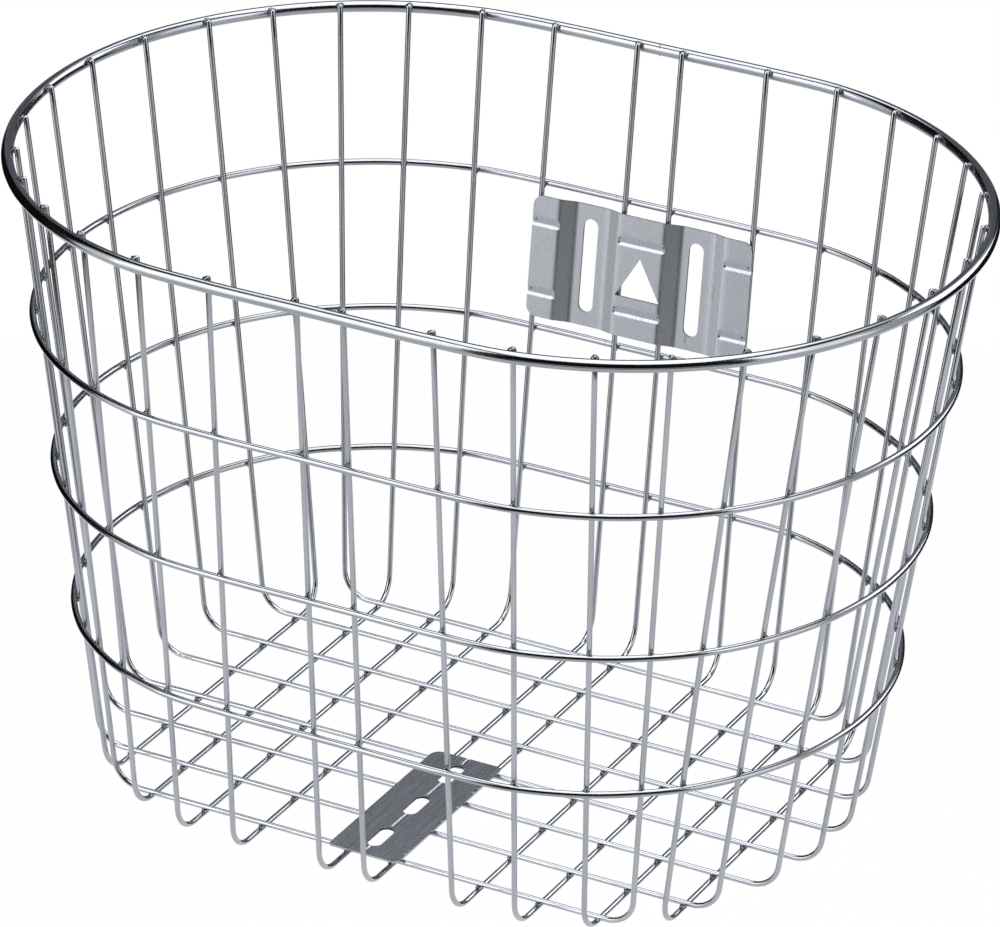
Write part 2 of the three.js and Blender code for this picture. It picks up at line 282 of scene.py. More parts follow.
@dataclass(frozen=True)
class SheetFinish:
    """Stainless steel sheet as it comes from the mill, 2B finish: satin grey, with faint rolling lines.

    Handling has left fine scratches on it, a little darker than the skin. The holes' walls are painted dark:
    the edge that the punch tore, and painted shade under the sheet.
    """

    name: str
    steel: str
    shade: str
    scratch: str
    torn_edge_and_shade: str
    roughness: float
    roughness_swing: float
    grain: float
    roll_line_spacing: float
    roll_line_length: float
    grain_depth: float
    scratch_spacing: float
    scratch_length: float
    grain_detail: float = 4.0
    grain_strength: float = 0.5
    scratch_detail: float = 5.0
    scratch_turn: float = 0.5
    scratch_span: tuple[float, float] = (0.68, 0.74)
    scratch_share: float = 0.5

    def material(self) -> Material:
        """Makes the material, for a mesh with a UV map in metres over the sheet, and its holes' walls marked
        for painted shade.

        Returns:
            The material.
        """
        material, tree = new_material(self.name)
        uv = add_node(tree, "ShaderNodeUVMap", uv_map="sheet").outputs["UV"]
        speckle = noise(tree, uv, self.grain, self.grain_detail)
        lines = streaks(tree, uv, (self.roll_line_spacing, self.roll_line_length))
        scratch_size = (self.scratch_spacing, self.scratch_length)
        scored = streaks(tree, uv, scratch_size, self.scratch_detail, self.scratch_turn)
        scratches = ramp(tree, scored, self.scratch_span, 0.0, self.scratch_share)
        metal = mottle(tree, speckle, self.shade, self.steel)
        scratched = blend_colour(tree, scratches, metal, linear(self.scratch))
        # The holes' walls are painted dark: torn edge, and painted shade under the sheet.
        hole_wall_shade = add_node(tree, "ShaderNodeAttribute", attribute_name="hole_wall_shade").outputs["Fac"]
        colour = blend_colour(tree, hole_wall_shade, scratched, linear(self.torn_edge_and_shade))
        swing = self.roughness_swing
        rough = ramp(tree, lines, LINE_SPAN, self.roughness - swing, self.roughness + swing)
        relief = add_node(tree, "ShaderNodeMath", {0: speckle, 1: lines}, operation="ADD").outputs[0]
        end_in_metal(tree, colour, rough, relief, self.grain_depth, self.grain_strength)
        return material


@dataclass(frozen=True)
class WeldFinish:
    """Steel that melted in a resistance weld: a smooth, dark, uneven skin with sharp glints."""

    name: str
    steel: str
    shade: str
    roughness: float
    lump: float
    lump_depth: float
    lump_strength: float = 0.7

    def material(self) -> Material:
        """Makes the material, with lumps by place.

        Returns:
            The material.
        """
        material, tree = new_material(self.name)
        lumps = noise(tree, add_node(tree, "ShaderNodeNewGeometry").outputs["Position"], self.lump)
        colour = mottle(tree, lumps, self.shade, self.steel)
        end_in_metal(tree, colour, self.roughness, lumps, self.lump_depth, self.lump_strength)
        return material


# The walls' wire keeps the bright skin that the die leaves, with faint lines and broad patches of tone.
DRAWN = WireFinish(
    name="cold_drawn_stainless",
    steel="#adb1b7",
    shade="#a4a7ae",
    # Heat tint, and painted shade where the wires meet, darken the wire at each weld.
    heat_and_shade_tint="#312f2e",
    roughness=0.11,
    roughness_swing=0.03,
    line_spacing=0.4 * MM,
    line_length=40 * MM,
    line_depth=0.002 * MM,
    patch_length=30 * MM,
)

# The rim and the hoops were buffed after drawing, so they mirror the room softly, with a trace of lines.
POLISHED = WireFinish(
    name="buffed_stainless",
    steel="#a1a5aa",
    shade="#999ca2",
    # Heat tint, and painted shade where the wires meet, darken the ring at each weld.
    heat_and_shade_tint="#3c3937",
    roughness=0.15,
    roughness_swing=0.03,
    line_spacing=0.6 * MM,
    line_length=25 * MM,
    line_depth=0.002 * MM,
    patch_length=45 * MM,
)

# The plates are pressed from rolled sheet and left bare, so they are satin, with faint lines along them.
MILL_SHEET = SheetFinish(
    name="mill_finish_stainless_sheet",
    steel="#abaeb4",
    shade="#a5a8af",
    scratch="#737476",
    # Painted shade on the holes' walls, with their torn edge.
    torn_edge_and_shade="#2e2f31",
    roughness=0.28,
    roughness_swing=0.03,
    grain=0.5 * MM,
    roll_line_spacing=0.6 * MM,
    roll_line_length=30 * MM,
    grain_depth=0.0015 * MM,
    scratch_spacing=2.5 * MM,
    scratch_length=18 * MM,
)

# The beads froze from melted steel and were never cleaned, so they are dark and lumpy.
WELD = WeldFinish(
    name="resistance_weld_steel",
    steel="#858688",
    shade="#4b4a4a",
    roughness=0.2,
    lump=0.7 * MM,
    lump_depth=0.15 * MM,
)


def distances(line: np.ndarray) -> np.ndarray:
    """How far each point of a line lies from its start, along the line."""
    return np.concatenate([[0.0], np.cumsum(np.linalg.norm(np.diff(line, axis=0), axis=1))])


def on_line(line: np.ndarray, places: Sequence[float]) -> np.ndarray:
    """The points of a line at given distances from its start."""
    at = distances(line)
    return np.stack([np.interp(places, at, column) for column in line.T], axis=1)


def unit(rows: np.ndarray) -> np.ndarray:
    """Each row's direction, at length 1."""
    return rows / np.linalg.norm(rows, axis=1)[:, None]


def both_signs(values: Iterable[float]) -> list[float]:
    """Each value on the left and on the right of the middle."""
    return [sign * value for value in values for sign in (-1, 1)]


@dataclass(frozen=True)
class Oval:
    """An oval in plan: a flat back and a flat front, joined on each side by half an ellipse."""

    width: float
    depth: float
    flat: float
    middle_y: float = 0.0
    steps: int = 4000

    @property
    def reach(self) -> float:
        """Half the ellipse's width."""
        return (self.width - self.flat) / 2

    def depth_at(self, x: float) -> float:
        """How far the back and the front lie from the middle line at x."""
        out = max(0.0, abs(x) - self.flat / 2) / self.reach
        return self.depth / 2 * math.sqrt(max(0.0, 1 - out * out))

    def width_at(self, y: float) -> float:
        """The half width at y."""
        along = (y - self.middle_y) * 2 / self.depth
        return self.flat / 2 + self.reach * math.sqrt(max(0.0, 1 - along * along))

    def right_half(self) -> np.ndarray:
        """Follows the right half from the middle of the back to the middle of the front.

        Returns:
            The plan points along it.
        """
        turn = np.linspace(math.pi / 2, -math.pi / 2, self.steps)
        arc = np.stack([self.flat / 2 + self.reach * np.cos(turn), self.depth / 2 * np.sin(turn)], axis=1)
        back, front = [(0.0, self.depth / 2)], [(0.0, -self.depth / 2)]
        return np.concatenate([back, arc, front]) + (0.0, self.middle_y)


@dataclass(frozen=True)
class Arm:
    """A wire's straight run up a wall, from where a sharp bend would stand to its top end."""

    foot: Vector
    top: Vector

    def at_height(self, z: float) -> Vector:
        """Where the arm's axis passes height z."""
        return self.foot.lerp(self.top, (z - self.foot.z) / (self.top.z - self.foot.z))

    def mirrored(self) -> "Arm":
        """The same arm on the basket's other side."""
        flip = Vector((-1.0, 1.0, 1.0))
        return Arm(self.foot * flip, self.top * flip)


def eased(step: int, count: int, ease: float) -> float:
    """Place number step of count places from 0 to 1, with the first spaces a little wider."""
    return step / count + ease * step * (count - step) / (count * count)


@dataclass
class Lattice:
    """Where the wires run: a grid on the floor whose ends fan out from the foot oval to the mouth oval."""

    mouth: Oval = Oval(387 * MM, 276.4 * MM, 112 * MM)
    foot: Oval = Oval(315.4 * MM, 227.8 * MM, 112 * MM, -7.7 * MM)
    wire_d: float = 2.2 * MM
    weld_gap: float = 0.3 * MM
    top_z: float = 256.6 * MM
    pair_pitch: float = 20 * MM
    long_ranks: int = 5
    long_outer_inset: float = 33.2 * MM
    long_ease: float = 0.054
    plate_wire_x: float = 48.9 * MM
    plate_wire_lean: float = 0.9 * MM
    cross_count: int = 8
    cross_inset: float = 21.6 * MM
    cross_ease: float = 0.021
    top_gaps: tuple[float, ...] = (32.4 * MM, 30.6 * MM, 28.1 * MM, 28.1 * MM, 28.1 * MM)
    long_xs: list[float] = field(init=False)
    cross_ys: list[float] = field(init=False)
    arms: dict[tuple, Arm] = field(init=False)

    def __post_init__(self) -> None:
        """Works out the floor grid and the arms of the right half, in order from back to front."""
        spaces = self.long_ranks - 2
        span = self.foot.width / 2 - self.long_outer_inset - self.plate_wire_x
        outer = [self.plate_wire_x + span * eased(k, spaces, self.long_ease) for k in range(spaces + 1)]
        self.long_xs = [self.pair_pitch / 2, *outer]
        reach = self.foot.depth / 2 - self.cross_inset
        places = [eased(k, self.cross_count - 1, self.cross_ease) for k in range(self.cross_count)]
        self.cross_ys = [self.foot.middle_y + reach - 2 * reach * place for place in places]
        feet = sorted(self._feet().items(), key=lambda item: self._turn(item[1]))
        tops = self._tops(len(feet))
        self.arms = {key: Arm(at, top) for (key, at), top in zip(feet, tops)}

    @property
    def long_z(self) -> float:
        """Height of the long wires' axes on the floor."""
        return self.wire_d / 2

    @property
    def cross_z(self) -> float:
        """Height of the cross wires' axes, which lie on the long wires."""
        return self.long_z + self.wire_d + self.weld_gap

    def _turn(self, at: Vector) -> float:
        """Angle of a foot round the foot oval's middle, from the back."""
        return math.atan2(at.x, at.y - self.foot.middle_y)

    def _feet(self) -> dict[tuple, Vector]:
        """Finds the feet of the right half's arms.

        Returns:
            The feet by wire, rank and, for long wires, side.
        """
        feet = {}
        for rank, x in enumerate(self.long_xs):
            for side in Side:
                y = self.foot.middle_y + side.value * self.foot.depth_at(x)
                feet["long", rank, side] = Vector((x, y, self.long_z))
        for rank, y in enumerate(self.cross_ys):
            feet["cross", rank] = Vector((self.foot.width_at(y), y, self.cross_z))
        return feet

    def _tops(self, count: int) -> list[Vector]:
        """Sets the arms' tops along the right half of the mouth: set gaps at its two ends, even ones between.

        Args:
            count: How many arms the right half has.

        Returns:
            The tops from back to front.
        """
        line = self.mouth.right_half()
        length = distances(line)[-1]
        beside_pair = self.plate_wire_x - self.plate_wire_lean - self.pair_pitch / 2
        lead = np.cumsum([self.pair_pitch / 2, beside_pair, *self.top_gaps])
        between = np.linspace(lead[-1], length - lead[-1], count - 2 * len(lead) + 2)
        along = np.concatenate([lead, between[1:-1], length - lead[::-1]])
        return [Vector((x, y, self.top_z)) for x, y in on_line(line, along)]

    def ring_points(self, z: float) -> np.ndarray:
        """Finds where all the arms pass one height.

        Args:
            z: The height.

        Returns:
            The points, going round from the back's middle by the right.
        """
        right = np.array([arm.at_height(z) for arm in self.arms.values()])
        left = right[::-1] * (-1.0, 1.0, 1.0)
        return np.concatenate([right, left])


@dataclass
class Course:
    """A wire's line in space, as stations with two directions across it."""

    points: np.ndarray
    sides: np.ndarray
    ups: np.ndarray
    closed: bool

    def heat(self, welds: np.ndarray, spread: float) -> np.ndarray:
        """How much heat tint and painted shade darken each station near welds.

        Args:
            welds: Points on the line where it is welded.
            spread: How far a weld's tint and painted shade reach.

        Returns:
            A share from 0 to 1 for each station.
        """
        # Painted shade and heat tint, fading with distance from the nearest weld.
        nearest = np.linalg.norm(self.points[:, None] - welds[None], axis=2).min(axis=1)
        return np.exp(-((nearest / spread) ** 2))


@dataclass
class Tube:
    """A round wire along a course, with domed ends if it is open."""

    name: str
    course: Course
    radius: float
    # Share of heat tint and painted shade at each station.
    heat: np.ndarray
    sides: int = 20
    dome_steps: int = 5
    dome_share: float = 0.97

    def build(self) -> Object:
        """Makes the wire's mesh, with a UV map in metres and the heat tint and painted shade of its welds.

        Returns:
            The new object.
        """
        points, sides, ups, radii, heat = self._stations()
        turn = (np.arange(self.sides) / self.sides) * 2 * math.pi
        ring = sides[:, None] * np.cos(turn)[None, :, None] + ups[:, None] * np.sin(turn)[None, :, None]
        vertices = (points[:, None] + ring * radii[:, None, None]).reshape(-1, 3)
        count = len(points)
        runs = count if self.course.closed else count - 1
        faces = [
            (
                run * self.sides + k,
                run * self.sides + (k + 1) % self.sides,
                (run + 1) % count * self.sides + (k + 1) % self.sides,
                (run + 1) % count * self.sides + k,
            )
            for run in range(runs)
            for k in range(self.sides)
        ]
        if not self.course.closed:
            last = (count - 1) * self.sides
            faces.append(tuple(reversed(range(self.sides))))
            faces.append(tuple(range(last, last + self.sides)))
        mesh = bpy.data.meshes.new(self.name)
        mesh.from_pydata(vertices.tolist(), [], faces)
        self._lay_uv(mesh, points, runs)
        # The welds' heat tint and painted shade, read by the material.
        mesh.attributes.new("heat", "FLOAT", "POINT").data.foreach_set("value", np.repeat(heat, self.sides))
        mesh.shade_smooth()
        return bpy.data.objects.new(self.name, mesh)

    def _stations(self) -> tuple[np.ndarray, np.ndarray, np.ndarray, np.ndarray, np.ndarray]:
        """Adds a dome to each open end of the course.

        Returns:
            The points, sides, ups, radii and heat of all the stations.
        """
        course = self.course
        radii = np.full(len(course.points), self.radius)
        if course.closed:
            return course.points, course.sides, course.ups, radii, self.heat
        steps = self.dome_steps
        rise = np.linspace(0, math.pi / 2, steps + 1)[1:] * self.dome_share
        domes = []
        for end, inner in ((0, 1), (-1, -2)):
            out = course.points[end] - course.points[inner]
            out /= np.linalg.norm(out)
            domes.append(course.points[end] + out * (np.sin(rise) * self.radius)[:, None])
        narrowing = np.cos(rise) * self.radius
        points = np.concatenate([domes[0][::-1], course.points, domes[1]])
        radii = np.concatenate([narrowing[::-1], radii, narrowing])
        sides, ups, heat = (
            np.concatenate([[rows[0]] * steps, rows, [rows[-1]] * steps])
            for rows in (course.sides, course.ups, self.heat)
        )
        return points, sides, ups, radii, heat

    def _lay_uv(self, mesh: Mesh, points: np.ndarray, runs: int) -> None:
        """Lays a UV map: metres along the wire, and metres round it.

        Args:
            mesh: The wire's mesh.
            points: Its stations.
            runs: How many rows of faces lie between them.
        """
        along = distances(np.concatenate([points, points[:1]]))
        step = 2 * math.pi * self.radius / self.sides
        corners = [
            (along[run + far], (k + near) * step)
            for run in range(runs)
            for k in range(self.sides)
            for far, near in ((0, 0), (0, 1), (1, 1), (1, 0))
        ]
        caps = len(mesh.loops) - len(corners)
        flat = np.array(corners + [(0.0, 0.0)] * caps, dtype=np.float32).ravel()
        mesh.uv_layers.new(name="wire").data.foreach_set("uv", flat)


@dataclass
class Beads:
    """Weld beads: small uneven drops of steel in the corners where two wires meet."""

    name: str
    wobble: float = 0.14
    waves: tuple[float, float] = (3.1, 2.3)
    drifts: tuple[float, float] = (1.7, 2.9)
    count: int = field(init=False, default=0)
    mesh: bmesh.types.BMesh = field(init=False, default_factory=bmesh.new)

    def add(self, centre: Vector, axes: Sequence[Vector], sizes: Sequence[float], roundness: int = 2) -> None:
        """Adds one drop, each a little differently uneven.

        Args:
            centre: Its middle.
            axes: Three directions.
            sizes: Its half size along each.
            roundness: How finely its surface is cut.
        """
        self.count += 1
        frame_of_drop = Matrix([axis.normalized() * size for axis, size in zip(axes, sizes)]).transposed()
        starts = [drift * self.count for drift in self.drifts]
        made = bmesh.ops.create_icosphere(self.mesh, subdivisions=roundness, radius=1.0)
        for vertex in made["verts"]:
            swell = math.sin(self.waves[0] * vertex.co.x + starts[0])
            swell *= math.cos(self.waves[1] * vertex.co.y + starts[1])
            vertex.co = centre + frame_of_drop @ (vertex.co * (1 + self.wobble * swell))

    def build(self) -> Object:
        """Makes the object of all the drops.

        Returns:
            The new object.
        """
        mesh = bpy.data.meshes.new(self.name)
        bmesh.ops.recalc_face_normals(self.mesh, faces=self.mesh.faces)
        self.mesh.to_mesh(mesh)
        self.mesh.free()
        mesh.shade_smooth()
        return bpy.data.objects.new(self.name, mesh)


def fit(piece: Object, material: Material, nodes: Iterable[str] = ()) -> None:
    """Puts a finished piece on the basket.

    Args:
        piece: The new object.
        material: Its material.
        nodes: CAD nodes that it stands for.
    """
    bpy.context.scene.collection.objects.link(piece)
    piece.data.materials.clear()
    piece.data.materials.append(material)
    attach(piece, BODY)
    for node in nodes:
        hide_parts(node)
    log.info("%s: %d faces", piece.name, len(piece.data.polygons))


@dataclass
class Wires:
    """The eighteen U-bent wires that make the floor and the walls."""

    lattice: Lattice
    hoop_heights: Sequence[float]
    bend_radius: float = 12 * MM
    bend_steps: int = 14
    run_step: float = 14 * MM
    least_step: float = 0.3 * MM
    search_steps: int = 4000
    weld_steps: tuple[float, ...] = (-3.4, -2.2, -1.5, -0.8, 0.0, 0.8, 1.5, 2.2, 3.4)
    weld_spread: float = 1.5 * MM
    bead_in_radii: Triple = (1.0, 2.0, 0.6)

    def build(self, material: Material, weld: Material) -> None:
        """Makes every wire, and the beads where the floor's two layers cross.

        Args:
            material: The wire's finish.
            weld: The beads' finish.
        """
        lattice = self.lattice
        crossings = self._crossings()
        for rank in range(lattice.long_ranks):
            back, front = (lattice.arms["long", rank, side] for side in Side)
            self._wire(f"long_wire_{lattice.long_ranks + 1 + rank}", back, front, crossings, material)
            name = f"long_wire_{lattice.long_ranks - rank}"
            self._wire(name, back.mirrored(), front.mirrored(), crossings, material)
        for rank in range(lattice.cross_count):
            right = lattice.arms["cross", rank]
            self._wire(f"cross_wire_{rank + 1}", right.mirrored(), right, crossings, material)
        beads = Beads("floor_welds")
        axes = (Vector((1, 0, 0)), Vector((0, 1, 0)), UP)
        sizes = [radii * lattice.wire_d / 2 for radii in self.bead_in_radii]
        z = (lattice.long_z + lattice.cross_z) / 2
        for x, y in crossings:
            beads.add(Vector((x, y, z)), axes, sizes)
        fit(beads.build(), weld)

    def _crossings(self) -> list[tuple[float, float]]:
        """Finds where a long wire's floor run passes under a cross wire's.

        Returns:
            The plan points.
        """
        lattice = self.lattice
        foot = lattice.foot
        xs = [sign * x for x in lattice.long_xs for sign in (1, -1)]
        return [
            (x, y)
            for x in xs
            for y in lattice.cross_ys
            if abs(x) < foot.width_at(y) - self.bend_radius
            and abs(y - foot.middle_y) < foot.depth_at(x) - self.bend_radius
        ]

    def _bend(self, start: Vector, corner: Vector, end: Vector) -> list[Vector]:
        """The arc that rounds a corner.

        Args:
            start: A point on the line before the corner.
            corner: Where the two lines meet.
            end: A point on the line after it.

        Returns:
            Points along the arc.
        """
        back = (start - corner).normalized()
        on = (end - corner).normalized()
        half = back.angle(on) / 2
        centre = corner + (back + on).normalized() * (self.bend_radius / math.sin(half))
        first = corner + back * (self.bend_radius / math.tan(half)) - centre
        axis = on.cross(back)
        turns = (k / self.bend_steps * (math.pi - 2 * half) for k in range(self.bend_steps + 1))
        return [centre + Matrix.Rotation(turn, 3, axis) @ first for turn in turns]

    def _course(self, start: Arm, end: Arm, welds: np.ndarray) -> Course:
        """The line of one U, with stations close together at its bends and welds.

        Args:
            start: The arm that it comes down.
            end: The arm that it goes up.
            welds: Points on its axis where it is welded.

        Returns:
            The course.
        """
        first_bend = self._bend(start.top, start.foot, end.foot)
        second_bend = self._bend(start.foot, end.foot, end.top)
        line = np.array([start.top, *first_bend, *second_bend, end.top])
        at = distances(line)
        wanted = [at, np.arange(0.0, at[-1], self.run_step)]
        searched = np.linspace(0.0, at[-1], self.search_steps)
        searched_points = on_line(line, searched)
        for point in welds:
            here = searched[np.linalg.norm(searched_points - point, axis=1).argmin()]
            wanted.append(here + np.array(self.weld_steps) * MM)
        places = np.unique(np.clip(np.concatenate(wanted), 0.0, at[-1]))
        kept = [places[0]]
        for place in places[1:]:
            if place - kept[-1] > self.least_step:
                kept.append(place)
        kept[-1] = at[-1]
        points = on_line(line, kept)
        along = unit(np.gradient(points, axis=0))
        across = np.cross(np.array(UP), np.array((end.foot - start.foot).normalized()))
        sides = unit(across - along * (along @ across)[:, None])
        return Course(points, sides, np.cross(along, sides), closed=False)

    def _wire(
        self, name: str, start: Arm, end: Arm, crossings: Sequence[tuple[float, float]], material: Material
    ) -> None:
        """Makes one wire.

        Args:
            name: Its CAD node.
            start: The arm that it comes down.
            end: The arm that it goes up.
            crossings: Plan points of the floor's welds.
            material: Its finish.
        """
        z = start.foot.z
        low = Vector(map(min, start.foot, end.foot))
        high = Vector(map(max, start.foot, end.foot))
        near = self.lattice.wire_d
        floor = [
            Vector((x, y, z))
            for x, y in crossings
            if low.x - near < x < high.x + near and low.y - near < y < high.y + near
        ]
        walls = [arm.at_height(height) for arm in (start, end) for height in self.hoop_heights]
        welds = np.array([*floor, *walls])
        course = self._course(start, end, welds)
        tube = Tube(name + "_drawn", course, self.lattice.wire_d / 2, course.heat(welds, self.weld_spread))
        fit(tube.build(), material, [name])


@dataclass
class Ring:
    """A wire bent to a closed ring that runs round the outside of all the arms at one height.

    Its own measures are those of a hoop. The rim is given others.
    """

    node: str
    lattice: Lattice
    z: float
    weld_z: float
    diameter: float = 2.7 * MM
    bead: Triple = (1.4 * MM, 1.9 * MM, 0.8 * MM)
    seam_x: float = -16 * MM
    seam_tilt: float = 0.35
    seam_in_radii: Triple = (0.32, 1.05, 1.05)
    seam_roundness: int = 3
    sides: int = 28
    weld_spread: float = 1.2 * MM
    # How much of the heat tint and painted shade the ring takes at its welds.
    heat_and_shade_share: float = 0.6
    knot_power: float = 0.5
    span_steps: tuple[float, ...] = (0.0, 0.04, 0.08, 0.15, 0.27, 0.42, 0.58, 0.73, 0.85, 0.92, 0.96)

    @property
    def offset(self) -> float:
        """From the arms' axes out to the ring's axis."""
        return (self.lattice.wire_d + self.diameter) / 2 + self.lattice.weld_gap

    def course(self) -> Course:
        """A smooth closed curve past all the arms.

        Returns:
            The course, whose stations start at an arm and are close together near each weld.
        """
        through = self.lattice.ring_points(self.weld_z)
        count = len(through)
        points, along = [], []
        for k in range(count):
            before, start, end, after = (through[(k + n) % count] for n in (-1, 0, 1, 2))
            legs = ((before, start), (start, end), (end, after))
            came, goes, next_goes = (np.linalg.norm(b - a) ** self.knot_power for a, b in legs)
            leave = (start - before) / came - (end - before) / (came + goes) + (end - start) / goes
            arrive = (end - start) / goes - (after - start) / (goes + next_goes) + (after - end) / next_goes
            leave, arrive = leave * goes, arrive * goes
            cubic = 2 * start - 2 * end + leave + arrive
            square = -3 * start + 3 * end - 2 * leave - arrive
            for t in self.span_steps:
                points.append(start + leave * t + square * t**2 + cubic * t**3)
                along.append(leave + 2 * square * t + 3 * cubic * t**2)
        along = unit(np.array(along) * (1.0, 1.0, 0.0))
        ups = np.tile(np.array(UP), (len(along), 1))
        line = np.array(points) - np.cross(along, ups) * self.offset
        line[:, 2] = self.z
        return Course(line, np.cross(ups, along), ups, closed=True)

    def build(self, material: Material, weld: Material) -> None:
        """Makes the ring, its beads and the seam where its ends were joined.

        Args:
            material: The ring's finish.
            weld: The beads' finish.
        """
        course = self.course()
        welds = course.points[:: len(self.span_steps)]
        # Heat tint and painted shade near each weld.
        heat = course.heat(welds, self.weld_spread) * self.heat_and_shade_share
        tube = Tube(self.node + "_buffed", course, self.diameter / 2, heat, self.sides)
        fit(tube.build(), material, [self.node])
        beads = Beads(self.node + "_welds")
        to_bead = (self.lattice.wire_d + self.lattice.weld_gap) / 2
        for arm, at in zip(self.lattice.ring_points(self.weld_z), welds):
            outward = (Vector(at - arm) * Vector((1, 1, 0))).normalized()
            beads.add(Vector(arm) + outward * to_bead, (UP.cross(outward), UP, outward), self.bead)
        self._seam(beads, course)
        fit(beads.build(), weld)

    def _seam(self, beads: Beads, course: Course) -> None:
        """Adds the thin swelling where the ring's two ends were butted and welded, on the back.

        Args:
            beads: The ring's beads, which it joins.
            course: The ring's line.
        """
        back = course.points[:, 1] > 0
        gap = np.where(back, np.abs(course.points[:, 0] - self.seam_x), np.inf)
        k = int(gap.argmin())
        side = Vector(course.sides[k])
        tilt = Matrix.Rotation(self.seam_tilt, 3, UP)
        axes = (tilt @ Vector(course.ups[k]).cross(side), tilt @ side, UP)
        sizes = [radii * self.diameter / 2 for radii in self.seam_in_radii]
        beads.add(Vector(course.points[k]), axes, sizes, self.seam_roundness)


def hinge(value: float, soft: float) -> float:
    """A bent line: 0 below 0 and the value above it, with a rounded bend.

    Args:
        value: Place along the line.
        soft: How far from the bend the rounding reaches.

    Returns:
        The line's height there.
    """
    if value <= -soft:
        return 0.0
    if value >= soft:
        return value
    return (value + soft) ** 2 / (4 * soft)


def slope(value: float, start: float, end: float, soft: float) -> float:
    """Rises from 0 at start to 1 at end, with both corners rounded within soft."""
    return (hinge(value - start, soft) - hinge(value - end, soft)) / (end - start)


def blended_max(first: float, second: float, soft: float) -> float:
    """The larger of two values, with the corner between them rounded within soft."""
    near = max(0.0, soft - abs(first - second))
    return max(first, second) + near * near / (4 * soft)


def arc_points(x: float, y: float, radius: float, start: float, end: float, steps: int) -> list[Vector]:
    """Points along an arc in the plane, with both its ends."""
    turns = np.linspace(start, end, steps + 1)
    return [Vector((x + radius * math.cos(turn), y + radius * math.sin(turn))) for turn in turns]


def slot_loop(x: float, y: float, length: float, width: float, steps: int = 16) -> list[Vector]:
    """Draws a bolt slot with round ends that lies along y.

    Args:
        x: Its middle across.
        y: Its middle along.
        length: Its length over the round ends.
        width: Its width.
        steps: Edges of each round end.

    Returns:
        The loop's points.
    """
    reach = (length - width) / 2
    far = arc_points(x, y + reach, width / 2, 0, math.pi, steps)
    return far + arc_points(x, y - reach, width / 2, math.pi, 2 * math.pi, steps)


def plate_loop(width: float, height: float, corners: Sequence[float], steps: int = 10) -> list[Vector]:
    """Draws a rectangle round the origin, with rounded corners.

    Args:
        width: Its size along x.
        height: Its size along y.
        corners: Radius of each corner, from +x +y to the left round.
        steps: Edges of each corner.

    Returns:
        The loop's points.
    """
    points = []
    for k, (sx, sy) in enumerate(((1, 1), (-1, 1), (-1, -1), (1, -1))):
        radius = corners[k]
        x, y = sx * (width / 2 - radius), sy * (height / 2 - radius)
        points += arc_points(x, y, radius, k * math.pi / 2, (k + 1) * math.pi / 2, steps)
    return points


def spaced(loop: Sequence[Vector], step: float, least: float = 0.05) -> list[Vector]:
    """Cuts a closed loop's long edges.

    Args:
        loop: The loop's points.
        step: The longest edge.
        least: Share of the step under which an edge is dropped.

    Returns:
        The points of the cut loop.
    """
    made = []
    for here, after in zip(loop, [*loop[1:], loop[0]]):
        pieces = max(1, math.ceil((after - here).length / step))
        made.extend(here.lerp(after, k / pieces) for k in range(pieces))
    return [p for k, p in enumerate(made) if (p - made[k - 1]).length > step * least]


def inside(points: np.ndarray, loop: np.ndarray) -> np.ndarray:
    """Finds the points inside a closed loop.

    Args:
        points: Plan points.
        loop: The loop's points.

    Returns:
        True for each point that lies inside.
    """
    found = np.zeros(len(points), dtype=bool)
    for (x0, y0), (x1, y1) in zip(loop, np.roll(loop, -1, axis=0)):
        crosses = (y0 > points[:, 1]) != (y1 > points[:, 1])
        with np.errstate(divide="ignore", invalid="ignore"):
            at = x0 + (points[:, 1] - y0) * (x1 - x0) / (y1 - y0)
        found ^= crosses & (points[:, 0] < at)
    return found


def graded(reach: float, folds: Iterable[float], room: float, fine: float, coarse: float) -> np.ndarray:
    """Places lines across a sheet from -reach to reach, close together near its folds.

    Args:
        reach: Half the sheet's size.
        folds: Where the folds lie.
        room: How far from a fold the lines stay close.
        fine: Spacing near folds.
        coarse: Spacing elsewhere.

    Returns:
        The lines' places in rising order.
    """
    places = [-reach]
    bends = np.array(list(folds))
    while places[-1] < reach:
        away = np.abs(bends - places[-1]).min() - room
        places.append(places[-1] + min(coarse, max(fine, fine + away / 2)))
    return np.array(places)


